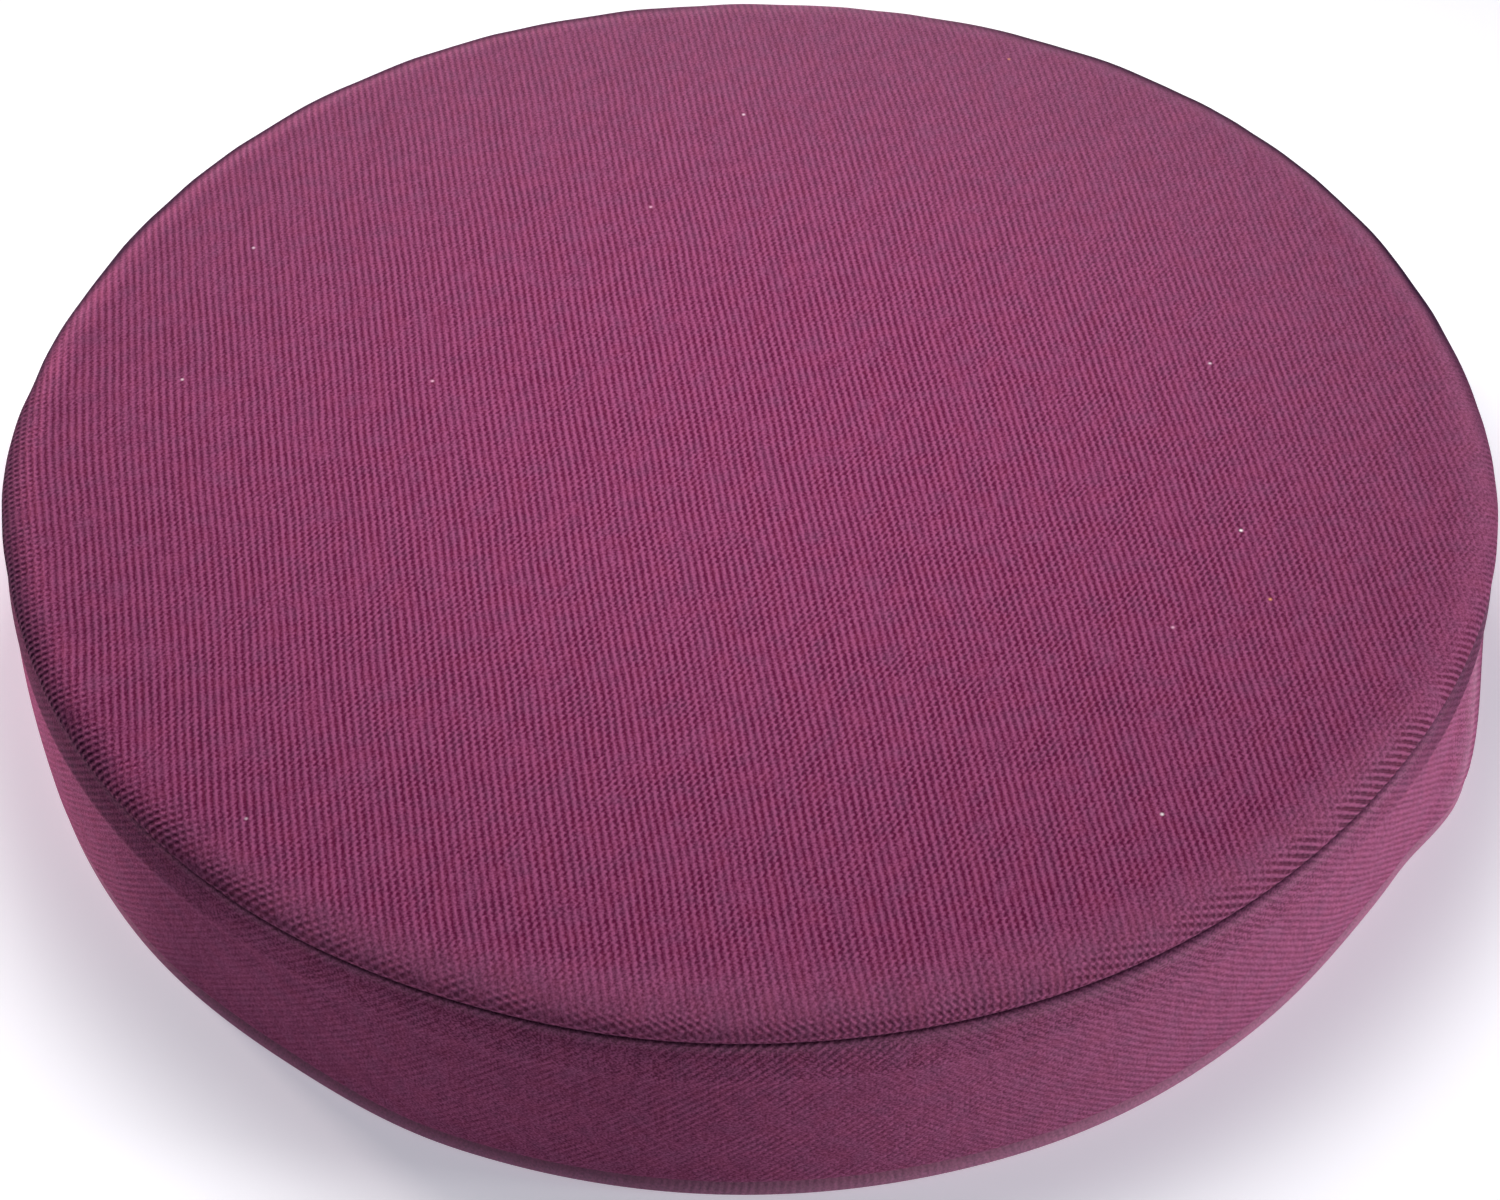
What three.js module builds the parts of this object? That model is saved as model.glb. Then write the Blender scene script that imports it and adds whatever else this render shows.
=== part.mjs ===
// Round boxed seat cushion, lying on its back: a crowned top panel rolls over at the rim, a side band
// stands between two plain sewn seams, and the underside is pressed flat. One filled, closed solid.
// Millimetres, +Z up, the front towards -Y, the origin at the middle of the underside.

import * as THREE from 'three';

// Top panel: its crown over the pad, and the roll at its rim
const CUSHION_HEIGHT = 73;
const CROWN_RISE = 3.2;
const CROWN_POWER = 2.6;
const CROWN_RING_CROWDING = 1.4;
const RIM_RADIUS = 199.7;
const ROLL_WIDTH = 13;
const ROLL_DROP = 5.6;
const ROLL_TURN_UNDER = 24;

// Seam between top panel and band: a narrow groove that the stitches draw in, with the band's fold below it
const SEAM_DEPTH = 2.6;
const SEAM_WIDTH = 0.9;
const LIP_RADIUS = 1.1;

// Side band: pressed seam allowance under the top seam, then the plain band, a little proud at half height
const ALLOWANCE_HEIGHT = 12.5;
const ALLOWANCE_PROUD = 0.7;
const ALLOWANCE_STEP = 1.6;
const ALLOWANCE_SHOULDER = 3.8;
const BAND_BULGE = 1.5;
const BAND_INSET_AT_TOP = 0.9;
const BAND_INSET_AT_FOOT = 0.6;

// Bottom seam and the rolled edge of the bottom panel, flattened where it rests
const BOTTOM_SEAM_HEIGHT = 7.2;
const BOTTOM_SEAM_DEPTH = 1.5;
const BOTTOM_SEAM_WIDTH = 2;
const FOOT_RADIUS = 198.2;
const FOOT_ROLL = 3.4;
const FOOT_ROLL_START = 40;
const FLAT_RADIUS = 192.5;

// Number of steps round the cushion, and along each stretch of its section
const STEPS_AROUND = 144;
const STEPS_CROWN = 8;
const STEPS_ROLL = 8;
const STEPS_LIP = 3;
const STEPS_BAND = 7;
const STEPS_FOOT = 4;

// How far the sewn edge and the foot stand out or in round the cushion, read as a slow wave between rows.
// On the top panel the edge's wave dies away towards the middle, by this power of the radius.
const EDGE_FADE_POWER = 6;
const UNEVENNESS = [
  { azimuth: -180, edge: 1.3, foot: 1.4 },
  { azimuth: -160, edge: -0.2, foot: 0.5 },
  { azimuth: -145, edge: 0.0, foot: 0.2 },
  { azimuth: -128, edge: 0.0, foot: -0.8 },
  { azimuth: -112, edge: -0.4, foot: 1.2 },
  { azimuth: -92, edge: 0.4, foot: 1.6 },
  { azimuth: -70, edge: 0.4, foot: 1.3 },
  { azimuth: -42, edge: -0.5, foot: -1.0 },
  { azimuth: -10, edge: 1.5, foot: 0.2 },
  { azimuth: 14, edge: 0.1, foot: 0.2 },
  { azimuth: 46, edge: 1.3, foot: 0.4 },
  { azimuth: 87, edge: -0.9, foot: -0.5 },
  { azimuth: 123, edge: 0.7, foot: 0.9 },
  { azimuth: 160, edge: -0.5, foot: -0.3 },
];

// Folds and puckers of the cover: where each stands at the foot and at the top of its height range, how far
// it reaches out (or in, below zero), and over how many degrees it fades towards the front and the back
const FOLDS = [
  { name: 'bulge at the right end', footAzimuth: -23, topAzimuth: -18, low: -36, high: 46,
    reach: 6.2, fadeFront: 10, fadeBack: 14 },
  { name: 'pleat along the bulge', footAzimuth: -27, topAzimuth: -18, low: 0, high: 50,
    reach: 1.3, fadeFront: 5, fadeBack: 3 },
  { name: 'dent before the bulge', footAzimuth: -38, topAzimuth: -34, low: -8, high: 46,
    reach: -1.2, fadeFront: 12, fadeBack: 8 },
  { name: 'slack at the left front', footAzimuth: -129, topAzimuth: -126, low: 0, high: 44,
    reach: -1.0, fadeFront: 14, fadeBack: 14 },
  { name: 'pucker at the left end', footAzimuth: 170, topAzimuth: 173, low: 44, high: 82,
    reach: -0.9, fadeFront: 4, fadeBack: 5 },
  { name: 'fullness at the back', footAzimuth: 104, topAzimuth: 100, low: 0, high: 58,
    reach: 1.4, fadeFront: 22, fadeBack: 26 },
];

const COVER_COLOUR = 0x7d3459;
const COVER_ROUGHNESS = 0.9;

const DEGREE = Math.PI / 180;
const QUARTER_TURN = 90;
const FULL_TURN = 360;

// Half a cosine wave from 0 to 1
function ease(share) {
  const t = Math.min(Math.max(share, 0), 1);
  return (1 - Math.cos(Math.PI * t)) / 2;
}

function mix(from, to, share) {
  return from + (to - from) * share;
}

// An angle brought to -180 .. 180 degrees
function wrapped(angle) {
  return ((((angle + FULL_TURN / 2) % FULL_TURN) + FULL_TURN) % FULL_TURN) - FULL_TURN / 2;
}

// One column of the unevenness table at any azimuth
function uneven(column, azimuth) {
  const rows = UNEVENNESS;
  const angle = wrapped(azimuth);
  let index = rows.length - 1;
  while (index > 0 && rows[index].azimuth > angle) index -= 1;
  const here = rows[index];
  const next = rows[(index + 1) % rows.length];
  const span = (next.azimuth - here.azimuth + FULL_TURN) % FULL_TURN;
  return mix(here[column], next[column], ease((angle - here.azimuth) / span));
}

// How far all the folds together move the surface at an azimuth and a height. Each rises over the first
// third of its height range and fades over the upper half.
function foldReach(azimuth, height) {
  let reach = 0;
  for (const fold of FOLDS) {
    const rise = (height - fold.low) / (fold.high - fold.low);
    if (rise <= 0 || rise >= 1) continue;
    const ridge = mix(fold.footAzimuth, fold.topAzimuth, rise);
    const away = wrapped(azimuth - ridge);
    const fade = away < 0 ? fold.fadeFront : fold.fadeBack;
    const across = ease(1 - Math.abs(away) / fade);
    const along = ease(2 * (1 - rise)) * ease(3 * rise);
    reach += fold.reach * across * along;
  }
  return reach;
}

// The section from the middle of the top, out over the rim and down to the flat underside. Each station
// also says how much it follows the edge and the foot columns of the unevenness, and the folds.
function section() {
  const stations = [];
  const rollTop = CUSHION_HEIGHT - CROWN_RISE;
  const rollMiddle = rollTop - ROLL_DROP;
  const rollStart = RIM_RADIUS - ROLL_WIDTH;

  // Crown, its rings closer together towards the rim
  for (let step = 1; step <= STEPS_CROWN; step += 1) {
    const out = 1 - (1 - step / STEPS_CROWN) ** CROWN_RING_CROWDING;
    const height = CUSHION_HEIGHT - CROWN_RISE * out ** CROWN_POWER;
    stations.push({ radius: rollStart * out, height, edge: out ** EDGE_FADE_POWER, foot: 0, folds: 0 });
  }

  // Roll over the rim, on past the widest point and a little under
  for (let step = 1; step <= STEPS_ROLL; step += 1) {
    const turn = mix(QUARTER_TURN, -ROLL_TURN_UNDER, step / STEPS_ROLL) * DEGREE;
    const radius = rollStart + ROLL_WIDTH * Math.cos(turn);
    const height = rollMiddle + ROLL_DROP * Math.sin(turn);
    stations.push({ radius, height, edge: 1, foot: 0, folds: step / STEPS_ROLL });
  }

  // Groove of the top seam
  const last = stations[stations.length - 1];
  const seamHeight = last.height - SEAM_WIDTH / 2;
  stations.push({ radius: last.radius - SEAM_DEPTH, height: seamHeight, edge: 1, foot: 0, folds: 0 });

  // Fold of the band under the seam, turning from the groove to the side
  const lipMiddle = seamHeight - SEAM_WIDTH / 2 - LIP_RADIUS;
  const bandTopRadius = RIM_RADIUS - BAND_INSET_AT_TOP;
  for (let step = 0; step <= STEPS_LIP; step += 1) {
    const turn = mix(QUARTER_TURN, 0, step / STEPS_LIP) * DEGREE;
    const radius = bandTopRadius - LIP_RADIUS + LIP_RADIUS * Math.cos(turn);
    const height = lipMiddle + LIP_RADIUS * Math.sin(turn);
    stations.push({ radius, height, edge: 1, foot: 0, folds: 1 });
  }

  // Band: the pressed seam allowance first, a soft step, then the plain band down to the bottom seam
  const bandTop = lipMiddle;
  const allowanceEnd = bandTop - ALLOWANCE_HEIGHT;
  const bandEnd = BOTTOM_SEAM_HEIGHT + BOTTOM_SEAM_WIDTH / 2;
  const bandRadius = (height) => {
    const down = (bandTop - height) / (bandTop - bandEnd);
    const straight = mix(bandTopRadius, FOOT_RADIUS + BAND_INSET_AT_FOOT, down);
    return straight + BAND_BULGE * Math.sin(Math.PI * down);
  };
  const bandStation = (height, proud) => {
    const down = (bandTop - height) / (bandTop - bandEnd);
    stations.push({ radius: bandRadius(height) + proud, height, edge: 1 - down, foot: down, folds: 1 });
  };
  bandStation(bandTop - ALLOWANCE_SHOULDER, ALLOWANCE_PROUD);
  bandStation(allowanceEnd + ALLOWANCE_STEP, ALLOWANCE_PROUD);
  bandStation(allowanceEnd, 0);
  for (let step = 1; step <= STEPS_BAND; step += 1) {
    bandStation(mix(allowanceEnd, bandEnd, step / STEPS_BAND), 0);
  }

  // Bottom seam, drawn in less than the top one
  const bottomSeamRadius = FOOT_RADIUS - BOTTOM_SEAM_DEPTH;
  stations.push({ radius: bottomSeamRadius, height: BOTTOM_SEAM_HEIGHT, edge: 0, foot: 1, folds: 1 });

  // Rolled edge of the bottom panel, down to the flat that rests on the floor
  for (let step = 0; step <= STEPS_FOOT; step += 1) {
    const turn = mix(FOOT_ROLL_START, -QUARTER_TURN, step / STEPS_FOOT) * DEGREE;
    const rolled = FOOT_RADIUS - FOOT_ROLL + FOOT_ROLL * Math.cos(turn);
    const radius = step === STEPS_FOOT ? FLAT_RADIUS : rolled;
    const height = FOOT_ROLL + FOOT_ROLL * Math.sin(turn);
    stations.push({ radius, height, edge: 0, foot: 1, folds: 1 });
  }
  return stations;
}

// The closed solid: rings of the section round the axis, a fan at the crown and a fan on the flat
function cushionGeometry() {
  const stations = section();
  const positions = [0, 0, CUSHION_HEIGHT];
  for (const station of stations) {
    for (let step = 0; step < STEPS_AROUND; step += 1) {
      const azimuth = (FULL_TURN * step) / STEPS_AROUND;
      const shift = station.edge * uneven('edge', azimuth) + station.foot * uneven('foot', azimuth);
      const folds = station.folds * foldReach(azimuth, station.height);
      const radius = station.radius + shift + folds;
      const turn = azimuth * DEGREE;
      positions.push(radius * Math.cos(turn), radius * Math.sin(turn), station.height);
    }
  }
  const flatMiddle = positions.length / 3;
  positions.push(0, 0, 0);

  const faces = [];
  const at = (ring, step) => 1 + ring * STEPS_AROUND + (step % STEPS_AROUND);
  const lastRing = stations.length - 1;
  for (let step = 0; step < STEPS_AROUND; step += 1) {
    faces.push(0, at(0, step), at(0, step + 1));
    faces.push(flatMiddle, at(lastRing, step + 1), at(lastRing, step));
    for (let ring = 0; ring < lastRing; ring += 1) {
      faces.push(at(ring, step), at(ring + 1, step), at(ring + 1, step + 1));
      faces.push(at(ring, step), at(ring + 1, step + 1), at(ring, step + 1));
    }
  }
  const geometry = new THREE.BufferGeometry();
  geometry.setAttribute('position', new THREE.Float32BufferAttribute(positions, 3));
  geometry.setIndex(faces);
  geometry.computeVertexNormals();
  return geometry;
}

// Woven two-tone cover, mauve over dark plum
function coverMaterial() {
  return new THREE.MeshStandardMaterial({ color: COVER_COLOUR, roughness: COVER_ROUGHNESS, metalness: 0 });
}

const seatCushion = new THREE.Group();
const cushion = new THREE.Mesh(cushionGeometry(), coverMaterial());
cushion.name = 'cushion';
seatCushion.add(cushion);

export default seatCushion;
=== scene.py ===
import math

import bpy
import numpy as np
from mathutils import Matrix, Vector


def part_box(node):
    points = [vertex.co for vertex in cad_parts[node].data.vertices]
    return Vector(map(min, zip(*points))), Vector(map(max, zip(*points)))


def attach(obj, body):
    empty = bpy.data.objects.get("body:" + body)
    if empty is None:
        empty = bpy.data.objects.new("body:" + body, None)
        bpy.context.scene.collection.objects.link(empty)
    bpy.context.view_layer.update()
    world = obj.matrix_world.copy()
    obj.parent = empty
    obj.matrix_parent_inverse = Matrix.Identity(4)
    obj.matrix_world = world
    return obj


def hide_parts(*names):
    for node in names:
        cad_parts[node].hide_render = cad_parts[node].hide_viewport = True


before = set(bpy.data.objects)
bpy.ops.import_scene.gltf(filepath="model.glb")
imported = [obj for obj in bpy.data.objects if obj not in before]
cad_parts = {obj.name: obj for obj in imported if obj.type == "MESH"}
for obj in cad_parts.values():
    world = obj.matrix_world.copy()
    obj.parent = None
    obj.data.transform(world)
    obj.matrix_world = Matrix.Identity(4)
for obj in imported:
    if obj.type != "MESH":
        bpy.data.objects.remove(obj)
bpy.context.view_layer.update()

# Filled cushion: a top panel, a side band and a bottom panel of the same cloth, sewn together with plain
# seams and filled until they are firm. The top panel is crowned and rolls over at its rim, the stitches
# draw both seams in, and the underside is pressed flat.
MM = 0.001
cushion_low, cushion_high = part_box("cushion")
CUSHION_HEIGHT = cushion_high.z - cushion_low.z
CROWN_RISE = 3.2 * MM
CROWN_POWER = 2.6
RIM_RADIUS = 199.7 * MM
ROLL_WIDTH = 13 * MM
ROLL_DROP = 5.6 * MM
ROLL_TURN_UNDER = 24
SEAM_DEPTH = 2.6 * MM
SEAM_WIDTH = 0.9 * MM
LIP_RADIUS = 1.1 * MM
ALLOWANCE_HEIGHT = 12.5 * MM
ALLOWANCE_PROUD = 0.7 * MM
ALLOWANCE_SHOULDER = 3.8 * MM
ALLOWANCE_STEP = 1.6 * MM
BAND_BULGE = 1.5 * MM
BAND_INSET_AT_TOP = 0.9 * MM
BAND_INSET_AT_FOOT = 0.6 * MM
BOTTOM_SEAM_HEIGHT = 7.2 * MM
BOTTOM_SEAM_DEPTH = 1.5 * MM
BOTTOM_SEAM_WIDTH = 2 * MM
FOOT_RADIUS = 198.2 * MM
FOOT_ROLL = 3.4 * MM
FOOT_ROLL_START = 62
FLAT_RADIUS = 192.5 * MM

# Steps of the mesh round the cushion and along each stretch of its section
STEPS_AROUND = 192
STEPS_CROWN = 30
STEPS_ROLL = 14
STEPS_GROOVE = 3
STEPS_LIP = 4
STEPS_ALLOWANCE = 6
STEPS_BAND = 14
STEPS_FOOT = 6
STEPS_FLAT = 8
CROWN_RING_CROWDING = 1.3

# How far the sewn edge and the foot stand out or in round the cushion, in millimetres
EDGE_FADE_POWER = 6
UNEVENNESS = [
    {"azimuth": -180, "edge": 1.3, "foot": 1.4},
    {"azimuth": -160, "edge": -0.2, "foot": 0.5},
    {"azimuth": -145, "edge": 0.0, "foot": 0.2},
    {"azimuth": -128, "edge": 0.0, "foot": -0.8},
    {"azimuth": -112, "edge": -0.4, "foot": 1.2},
    {"azimuth": -92, "edge": 0.4, "foot": 1.6},
    {"azimuth": -70, "edge": 0.4, "foot": 1.3},
    {"azimuth": -42, "edge": -0.5, "foot": -1.0},
    {"azimuth": -10, "edge": 1.5, "foot": 0.2},
    {"azimuth": 14, "edge": 0.1, "foot": 0.2},
    {"azimuth": 46, "edge": 1.3, "foot": 0.4},
    {"azimuth": 87, "edge": -0.9, "foot": -0.5},
    {"azimuth": 123, "edge": 0.7, "foot": 0.9},
    {"azimuth": 160, "edge": -0.5, "foot": -0.3},
    {"azimuth": 180, "edge": 1.3, "foot": 1.4},
]

# Folds of the cover: at what azimuth each stands at the foot and at the top of its height range, that range
# and how far the fold reaches out (or in, below zero), in millimetres, and over how many degrees it fades to
# the front and to the back. Each fades out over a share of its height at either end
FOLD_FADE_AT_TOP = 1 / 2
FOLD_FADE_AT_FOOT = 1 / 3
FOLDS = [
    {"name": "bulge at the right end", "foot": -23, "top": -18, "low": -36, "high": 46,
     "reach": 6.2, "front": 10, "back": 14},
    {"name": "pleat along the bulge", "foot": -27, "top": -18, "low": 0, "high": 50,
     "reach": 2.0, "front": 4, "back": 3},
    {"name": "dent before the bulge", "foot": -38, "top": -34, "low": -8, "high": 46,
     "reach": -1.2, "front": 12, "back": 8},
    {"name": "slack at the left front", "foot": -129, "top": -126, "low": 0, "high": 44,
     "reach": -1.0, "front": 14, "back": 14},
    {"name": "pucker at the left end", "foot": 170, "top": 173, "low": 44, "high": 82,
     "reach": -0.9, "front": 4, "back": 5},
    {"name": "fullness at the back", "foot": 104, "top": 100, "low": 0, "high": 58,
     "reach": 1.4, "front": 22, "back": 26},
]


def ease(share):
    """Half a cosine wave from 0 to 1."""
    return (1 - np.cos(np.pi * np.clip(share, 0, 1))) / 2


def mix(start, end, share):
    return start + (end - start) * share


def around(table, column, azimuth):
    """One column of a table at each azimuth, eased from row to row."""
    places = np.array([row["azimuth"] for row in table])
    values = np.array([row[column] for row in table])
    angle = (azimuth + 180) % 360 - 180
    index = np.clip(np.searchsorted(places, angle, side="right") - 1, 0, len(places) - 2)
    share = (angle - places[index]) / (places[index + 1] - places[index])
    return mix(values[index], values[index + 1], ease(share))


def fold_reach(azimuth, height):
    """How far all the folds move the cover out at each azimuth, at one height in metres."""
    reach = np.zeros_like(azimuth)
    for fold in FOLDS:
        rise = (height / MM - fold["low"]) / (fold["high"] - fold["low"])
        if 0 < rise < 1:
            away = (azimuth - mix(fold["foot"], fold["top"], rise) + 180) % 360 - 180
            fade = np.where(away < 0, fold["front"], fold["back"])
            across = ease(1 - np.abs(away) / fade)
            along = ease((1 - rise) / FOLD_FADE_AT_TOP) * ease(rise / FOLD_FADE_AT_FOOT)
            reach += fold["reach"] * across * along * MM
    return reach


def cushion_section():
    """The half section from the middle of the top to the middle of the underside, as rows of radius,
    height, how much each follows the uneven edge, the uneven foot and the folds, and its panel."""
    rows = []
    roll_middle = CUSHION_HEIGHT - CROWN_RISE - ROLL_DROP
    roll_start = RIM_RADIUS - ROLL_WIDTH

    def add_row(panel, radius, height, edge, foot, folds):
        rows.append({"panel": panel, "radius": radius, "height": height,
                     "edge": edge, "foot": foot, "folds": folds})

    for step in range(1, STEPS_CROWN + 1):
        out = 1 - (1 - step / STEPS_CROWN) ** CROWN_RING_CROWDING
        height = CUSHION_HEIGHT - CROWN_RISE * out ** CROWN_POWER
        add_row("top", roll_start * out, height, out ** EDGE_FADE_POWER, 0, 0)
    for step in range(1, STEPS_ROLL + 1):
        turn = math.radians(mix(90, -ROLL_TURN_UNDER, step / STEPS_ROLL))
        radius = roll_start + ROLL_WIDTH * math.cos(turn)
        add_row("top", radius, roll_middle + ROLL_DROP * math.sin(turn), 1, 0, step / STEPS_ROLL)

    mouth = rows[-1]
    groove_radius = mouth["radius"] - SEAM_DEPTH
    seam_height = mouth["height"] - SEAM_WIDTH / 2
    for step in range(1, STEPS_GROOVE + 1):
        share = step / STEPS_GROOVE
        height = mix(mouth["height"], seam_height, ease(share))
        add_row("top", mix(mouth["radius"], groove_radius, share), height, 1, 0, 1 - share)
    band_top = seam_height - SEAM_WIDTH / 2 - LIP_RADIUS
    band_top_radius = RIM_RADIUS - BAND_INSET_AT_TOP
    for step in range(STEPS_LIP + 1):
        turn = math.radians(mix(90, 0, step / STEPS_LIP))
        radius = band_top_radius - LIP_RADIUS + LIP_RADIUS * math.cos(turn)
        add_row("band", radius, band_top + LIP_RADIUS * math.sin(turn), 1, 0, 1)

    band_end = BOTTOM_SEAM_HEIGHT + BOTTOM_SEAM_WIDTH / 2

    def add_band_row(height, proud):
        down = (band_top - height) / (band_top - band_end)
        straight = mix(band_top_radius, FOOT_RADIUS + BAND_INSET_AT_FOOT, down)
        bulge = BAND_BULGE * math.sin(math.pi * down)
        add_row("band", straight + bulge + proud, height, 1 - down, down, 1)

    allowance_end = band_top - ALLOWANCE_HEIGHT
    for step in range(1, STEPS_ALLOWANCE + 1):
        height = mix(band_top, allowance_end + ALLOWANCE_STEP, step / STEPS_ALLOWANCE)
        add_band_row(height, ALLOWANCE_PROUD * ease((band_top - height) / ALLOWANCE_SHOULDER))
    for step in range(STEPS_BAND + 1):
        add_band_row(mix(allowance_end, band_end, step / STEPS_BAND), 0)
    add_row("band", FOOT_RADIUS - BOTTOM_SEAM_DEPTH, BOTTOM_SEAM_HEIGHT, 0, 1, 1)

    for step in range(STEPS_FOOT + 1):
        turn = math.radians(mix(FOOT_ROLL_START, -90, step / STEPS_FOOT))
        radius = FOOT_RADIUS - FOOT_ROLL + FOOT_ROLL * math.cos(turn)
        add_row("bottom", radius, FOOT_ROLL + FOOT_ROLL * math.sin(turn), 0, 1, 1)
    for step in range(STEPS_FLAT):
        share = step / STEPS_FLAT
        add_row("bottom", FLAT_RADIUS * (1 - share), 0, 0, (1 - share) ** EDGE_FADE_POWER, 0)
    return rows


# Cut of the cloth. The top and bottom panels are discs with the ribs running nearly front to back, and the
# band is a strip cut on the bias, joined at the back. The map counts ribs across u and crossing yarns across
# v, and on the band both counts grow round the cushion, and one grows and the other falls towards the top.
RIB_PITCH = 2.01 * MM
CROSS_PITCH = 1.99 * MM
RIB_NORMAL = 8.3
CROSS_NORMAL = -79.6
BIAS_COUNT_AROUND = 439
BIAS_RISE = 0.41 / MM
BAND_JOIN_AZIMUTH = 90


def panel_counts(x, y):
    """Ribs and crossing yarns counted at a point of a disc-shaped panel laid flat."""
    rib, cross = math.radians(RIB_NORMAL), math.radians(CROSS_NORMAL)
    u = (x * math.cos(rib) + y * math.sin(rib)) / RIB_PITCH
    v = (x * math.cos(cross) + y * math.sin(cross)) / CROSS_PITCH
    return u, v


rows = cushion_section()
azimuths = BAND_JOIN_AZIMUTH - 360 + 360 * np.arange(STEPS_AROUND) / STEPS_AROUND
turns = np.radians(azimuths)
outward = np.stack([np.cos(turns), np.sin(turns)], 1)
edge_out = around(UNEVENNESS, "edge", azimuths) * MM
foot_out = around(UNEVENNESS, "foot", azimuths) * MM
points = [(0.0, 0.0, CUSHION_HEIGHT)]
for row in rows:
    uneven = row["edge"] * edge_out + row["foot"] * foot_out
    radius = row["radius"] + uneven + row["folds"] * fold_reach(azimuths, row["height"])
    ring = np.column_stack([radius[:, None] * outward, np.full(STEPS_AROUND, row["height"])])
    points.extend(ring.tolist())
points.append((0.0, 0.0, 0.0))

# Arc length of each row from the middle of its panel, or up the band from its lower seam
lengths = [rows[0]["radius"]]
for above, row in zip(rows, rows[1:]):
    step_length = math.hypot(row["radius"] - above["radius"], row["height"] - above["height"])
    lengths.append(lengths[-1] + step_length)
top_rows = [i for i, row in enumerate(rows) if row["panel"] == "top"]
band_rows = [i for i, row in enumerate(rows) if row["panel"] == "band"]
top_seam_length = lengths[top_rows[-1]]
bottom_seam_length = lengths[band_rows[-1]]
whole_length = lengths[-1] + rows[-1]["radius"]


def cloth_counts(panel, index, turn):
    """The map's u and v for one row of a panel at one turn round the cushion."""
    if panel == "band":
        rise = (bottom_seam_length - lengths[index]) * BIAS_RISE
        along = BIAS_COUNT_AROUND * turn / math.tau
        return along + rise, along - rise
    reach = lengths[index] if panel == "top" else whole_length - lengths[index]
    return panel_counts(reach * math.cos(turn), reach * math.sin(turn))


faces = []
face_counts = []
step_turn = math.tau / STEPS_AROUND
last_row = len(rows) - 1
last_vertex = len(points) - 1


def vertex_at(index, step):
    return 1 + index * STEPS_AROUND + step % STEPS_AROUND


def add_face(panel, corners):
    """Adds one face through (row, step) corners, with the map's counts of its panel at each of them."""
    faces.append([vertex_at(index, step) for index, step in corners])
    face_counts.append([cloth_counts(panel, index, turns[0] + step_turn * step) for index, step in corners])


def add_middle_face(middle_vertex, panel, corners):
    """Adds a three-cornered face round the middle of the top or the bottom panel."""
    add_face(panel, corners)
    faces[-1].insert(0, middle_vertex)
    face_counts[-1].insert(0, (0.0, 0.0))


for step in range(STEPS_AROUND):
    add_middle_face(0, "top", [(0, step), (0, step + 1)])
    add_middle_face(last_vertex, "bottom", [(last_row, step + 1), (last_row, step)])
    for index in range(last_row):
        corners = [(index, step), (index + 1, step), (index + 1, step + 1), (index, step + 1)]
        add_face(rows[index + 1]["panel"], corners)

cushion_mesh = bpy.data.meshes.new("seat_cushion")
cushion_mesh.from_pydata(points, [], faces)
cushion_map = cushion_mesh.uv_layers.new(name="yarn_counts")
corner_counts = [corner for counts in face_counts for corner in counts]
cushion_map.data.foreach_set("uv", np.array(corner_counts, np.float32).ravel())


def each_vertex(name, middle, values, foot_middle):
    """Keeps a number for each vertex, given for the crown, row by row round the cushion, and for the foot."""
    layer = cushion_mesh.attributes.new(name, "FLOAT", "POINT")
    spread = [np.broadcast_to(value, STEPS_AROUND) for value in values]
    layer.data.foreach_set("value", np.concatenate([[middle], *spread, [foot_middle]]).astype(np.float32))


# How the weave shows, with light and shade painted into the cloth. Towards the back of the top a painted
# sheen makes the cloth paler and its ribs show less, and towards the rim the ribs close up and the crossing
# yarns open.
# On the bias-cut band the ribs show on the right half and the crossing yarns on the left, a painted effect of
# the lamp on each side on a real weave. Painted shade darkens the cloth at the seams and over the folded seam
# allowance.

# The top away from its rim: how strongly its waves show, the azimuth towards which its strokes fade, and how
# much of them is lost over the outer part, whose start and fade are shares of the radius
FLOAT_SHOW = 0.45
COUNTER_SHOW = 0.14
CROSS_SHOW = 0.12
FLOAT_FADE_AZIMUTH = 105
FLOAT_FADE = 0.95
FLOAT_MOST = 1.4
OUTER_FLOAT_LOSS = 0.3
OUTER_START = 0.6
OUTER_FADE = 0.25

# Painted sheen on the back of the top, which also makes its ribs show less, and painted light on the front of
# its rim
BACK_SHEEN_AZIMUTH = 75
BACK_SHEEN_RIB_LOSS = 0.6
BACK_SHEEN_PALENESS = 0.08
BACK_RIM_SHEEN_PALENESS = 0.09
FRONT_RIM_PAINTED_LIGHT = 0.04

# How near the seam the crossing yarns are fully open and the ribs fully closed up, in millimetres
CROSS_OPEN = 3.5
RIBS_CLOSED = 9

# The bottom panel's edge, which shows as a lip at the foot, made paler by painted light as if lit from below
LIP_RIB = 0.1
LIP_PAINTED_LIGHT = 0.22
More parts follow.
